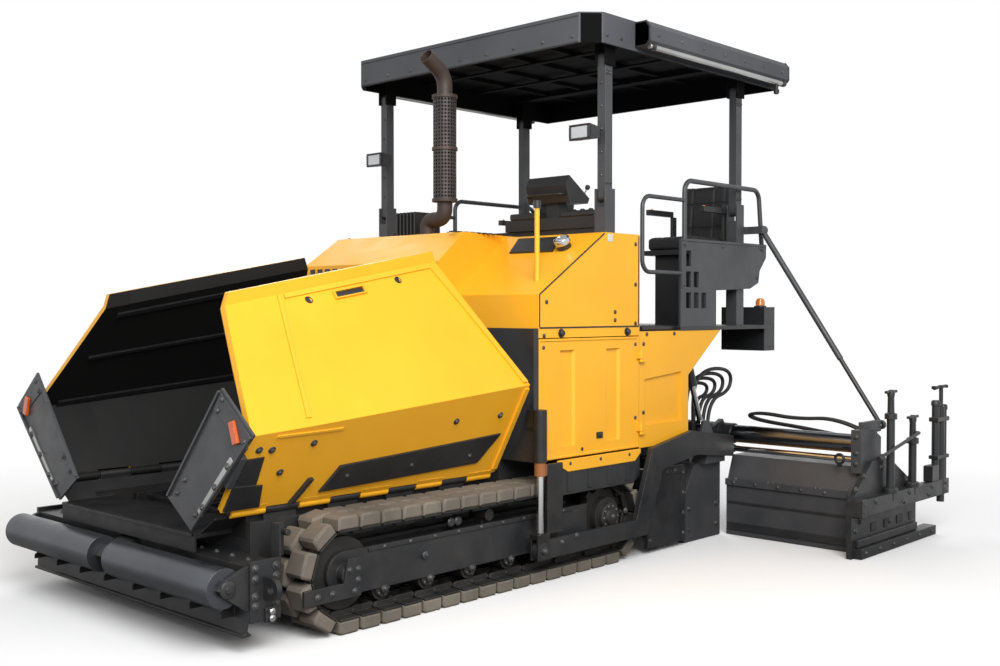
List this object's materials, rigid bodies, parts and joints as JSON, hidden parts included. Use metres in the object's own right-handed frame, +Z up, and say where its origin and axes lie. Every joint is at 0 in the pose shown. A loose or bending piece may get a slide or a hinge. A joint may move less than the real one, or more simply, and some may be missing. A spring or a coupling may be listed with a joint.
{
  "type": "tracked asphalt paver",
  "caption": "Tracked road paver with tilting hopper wings, push rollers, folding canopy, operator platform, augers and a floating screed with sliding extensions.",
  "frame": {"origin": "on the ground under the middle of the machine's length and width", "axes": "+X to the machine's left, +Y to its rear, +Z up"},
  "size_m": [5.0698, 6.1, 3.85],
  "materials": {
    "yellow_paint": "satin",
    "grey_paint": "satin",
    "black_paint": "matt",
    "worn_steel": "worn",
    "cast_iron": "rough",
    "track_pad": "worn",
    "rubber_hose": "matt",
    "bright_rod": "polished",
    "roof_panel": "satin",
    "seat_cover": "satin",
    "moulded_black": "matt",
    "lamp_body": "satin",
    "rusty_steel": "rusted"
  },
  "bodies": {
    "tractor": {"air_cleaner": "moulded_black", "auger_box": "grey_paint", "body_frame": "black_paint", "canopy_brackets": "grey_paint", "chassis_frame": "grey_paint", "conveyor_chains": "worn_steel", "cylinders": "bright_rod", "engine_block": "cast_iron", "exhaust": "rusty_steel", "handrails": "grey_paint", "hood": "yellow_paint", "hopper_floor": "grey_paint", "hoses": "rubber_hose", "lamps": "lamp_body", "platform_deck": "black_paint", "push_beam": "grey_paint", "rear_quarters": "yellow_paint", "seat_bases": "moulded_black", "seats": "seat_cover", "tie_down_eyes": "grey_paint", "track_belts": "track_pad", "track_frames": "grey_paint", "track_wheels": "cast_iron"},
    "wing_left": {"wing_left": "yellow_paint", "wing_plate_left": "grey_paint"},
    "wing_right": {"wing_right": "yellow_paint", "wing_plate_right": "grey_paint"},
    "push_roller_left": {"push_roller_left": "worn_steel"},
    "push_roller_right": {"push_roller_right": "worn_steel"},
    "auger_left": {"auger_left": "worn_steel"},
    "auger_right": {"auger_right": "worn_steel"},
    "door_left": {"door_left": "yellow_paint"},
    "door_right": {"door_right": "yellow_paint"},
    "console": {"console": "moulded_black"},
    "canopy_front_posts": {"canopy_front_posts": "grey_paint", "work_lamps": "lamp_body"},
    "canopy_roof": {"canopy_roof": "roof_panel"},
    "canopy_rear_posts": {"canopy_rear_posts": "grey_paint"},
    "screed": {"tow_arms": "grey_paint", "screed_main": "grey_paint", "screed_guides": "grey_paint"},
    "extension_left": {"extension_left": "grey_paint", "end_gate_left": "grey_paint"},
    "extension_right": {"extension_right": "grey_paint", "end_gate_right": "grey_paint"},
    "stay_tube_left": {"stay_tube_left": "grey_paint"},
    "stay_tube_right": {"stay_tube_right": "grey_paint"},
    "stay_rod_left": {"stay_rod_left": "bright_rod"},
    "stay_rod_right": {"stay_rod_right": "bright_rod"},
    "lift_rod_left": {"lift_rod_left": "bright_rod"},
    "lift_rod_right": {"lift_rod_right": "bright_rod"}
  },
  "joints": [
    {"name": "wing_left_tilt", "type": "hinge", "parent": "tractor", "child": "wing_left", "pos_m": [0.925, 0, 0.705], "axis": [0, 1, 0], "range_deg": [0, 40]},
    {"name": "push_roller_left_spin", "type": "hinge", "parent": "tractor", "child": "push_roller_left", "pos_m": [0, -2.945, 0.371], "axis": [1, 0, 0], "continuous": true},
    {"name": "auger_left_spin", "type": "hinge", "parent": "tractor", "child": "auger_left", "pos_m": [0, 0.85, 0.33], "axis": [1, 0, 0], "continuous": true},
    {"name": "door_left_swing", "type": "hinge", "parent": "tractor", "child": "door_left", "pos_m": [1.262, 0.51, 1.203], "axis": [0, 0, 1], "range_deg": [0, 100]},
    {"name": "wing_right_tilt", "type": "hinge", "parent": "tractor", "child": "wing_right", "pos_m": [-0.925, 0, 0.705], "axis": [0, -1, 0], "range_deg": [0, 40]},
    {"name": "push_roller_right_spin", "type": "hinge", "parent": "tractor", "child": "push_roller_right", "pos_m": [0, -2.945, 0.371], "axis": [1, 0, 0], "continuous": true},
    {"name": "auger_right_spin", "type": "hinge", "parent": "tractor", "child": "auger_right", "pos_m": [0, 0.85, 0.33], "axis": [1, 0, 0], "continuous": true},
    {"name": "door_right_swing", "type": "hinge", "parent": "tractor", "child": "door_right", "pos_m": [-1.262, 0.51, 1.203], "axis": [0, 0, -1], "range_deg": [0, 100]},
    {"name": "console_slide", "type": "slide", "parent": "tractor", "child": "console", "axis": [1, 0, 0], "range_m": [-1.02, 0]},
    {"name": "canopy_fold", "type": "hinge", "parent": "tractor", "child": "canopy_front_posts", "pos_m": [0, 0.21, 2.6], "axis": [-1, 0, 0], "range_deg": [0, 80]},
    {"name": "canopy_level", "type": "hinge", "parent": "canopy_front_posts", "child": "canopy_roof", "pos_m": [0, 0.21, 3.575], "axis": [-1, 0, 0], "range_deg": [-80, 0]},
    {"name": "canopy_rear_fold", "type": "hinge", "parent": "tractor", "child": "canopy_rear_posts", "pos_m": [0, 1.94, 2.6], "axis": [-1, 0, 0], "range_deg": [0, 80]},
    {"name": "screed_lift", "type": "hinge", "parent": "tractor", "child": "screed", "pos_m": [0, -0.65, 0.235], "axis": [-1, 0, 0], "range_deg": [-7, 0]},
    {"name": "extension_left_slide", "type": "slide", "parent": "screed", "child": "extension_left", "axis": [1, 0, 0], "range_m": [-1.03, 0.1]},
    {"name": "stay_left_swing", "type": "hinge", "parent": "tractor", "child": "stay_tube_left", "pos_m": [1.3, 2.13, 2.45], "axis": [0, -1, 0], "range_deg": [-33.97, 3.32]},
    {"name": "stay_left_reach", "type": "slide", "parent": "stay_tube_left", "child": "stay_rod_left", "axis": [0.5584, 0, -0.8295], "range_m": [-0.3149, 0.03102]},
    {"name": "lift_left_reach", "type": "slide", "parent": "tractor", "child": "lift_rod_left", "axis": [0, 0.3657, -0.9308], "range_m": [-0.27025, 0]},
    {"name": "extension_right_slide", "type": "slide", "parent": "screed", "child": "extension_right", "axis": [-1, 0, 0], "range_m": [-1.03, 0.1]},
    {"name": "stay_right_swing", "type": "hinge", "parent": "tractor", "child": "stay_tube_right", "pos_m": [-1.3, 2.13, 2.45], "axis": [0, 1, 0], "range_deg": [-33.97, 3.32]},
    {"name": "stay_right_reach", "type": "slide", "parent": "stay_tube_right", "child": "stay_rod_right", "axis": [-0.5584, 0, -0.8295], "range_m": [-0.3149, 0.03102]},
    {"name": "lift_right_reach", "type": "slide", "parent": "tractor", "child": "lift_rod_right", "axis": [0, 0.3657, -0.9308], "range_m": [-0.27025, 0]}
  ],
  "couplings": [
    {"joint": "canopy_level", "follows": "canopy_fold", "ratio": -1},
    {"joint": "canopy_rear_fold", "follows": "canopy_fold", "ratio": 1},
    {"joint": "stay_left_swing", "follows": "extension_left_slide", "rad_per_m": 0.57526},
    {"joint": "stay_left_reach", "follows": "extension_left_slide", "ratio": 0.30524},
    {"joint": "lift_left_reach", "follows": "screed_lift", "m_per_rad": 2.2079},
    {"joint": "stay_right_swing", "follows": "extension_right_slide", "rad_per_m": 0.57526},
    {"joint": "stay_right_reach", "follows": "extension_right_slide", "ratio": 0.30524},
    {"joint": "lift_right_reach", "follows": "screed_lift", "m_per_rad": 2.2079}
  ]
}
